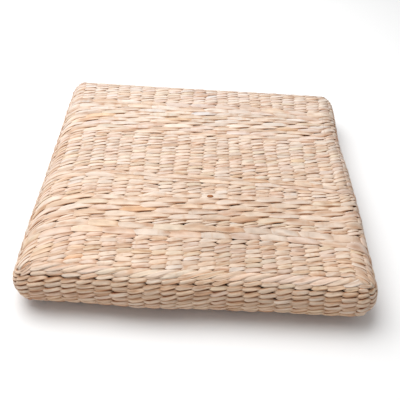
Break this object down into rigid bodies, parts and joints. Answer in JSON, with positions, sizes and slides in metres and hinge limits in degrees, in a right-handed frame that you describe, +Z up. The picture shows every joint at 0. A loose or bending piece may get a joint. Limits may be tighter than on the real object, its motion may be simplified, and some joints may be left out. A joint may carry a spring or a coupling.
{
  "type": "straw seat mat",
  "caption": "Thick square floor cushion woven from straw, with ribbed rows across the top, a rope-like rim and coursed rounded sides.",
  "frame": {"origin": "middle of the underside, on the surface that the mat lies on", "axes": "+Z up out of the top, +X right along the rows of the top, +Y back across the rows"},
  "size_m": [0.4, 0.4, 0.06],
  "materials": {
    "straw": "matt woven corn husk straw, cream to tan, unvarnished"
  },
  "bodies": {
    "root": {"seat_mat": "straw"}
  },
  "joints": []
}
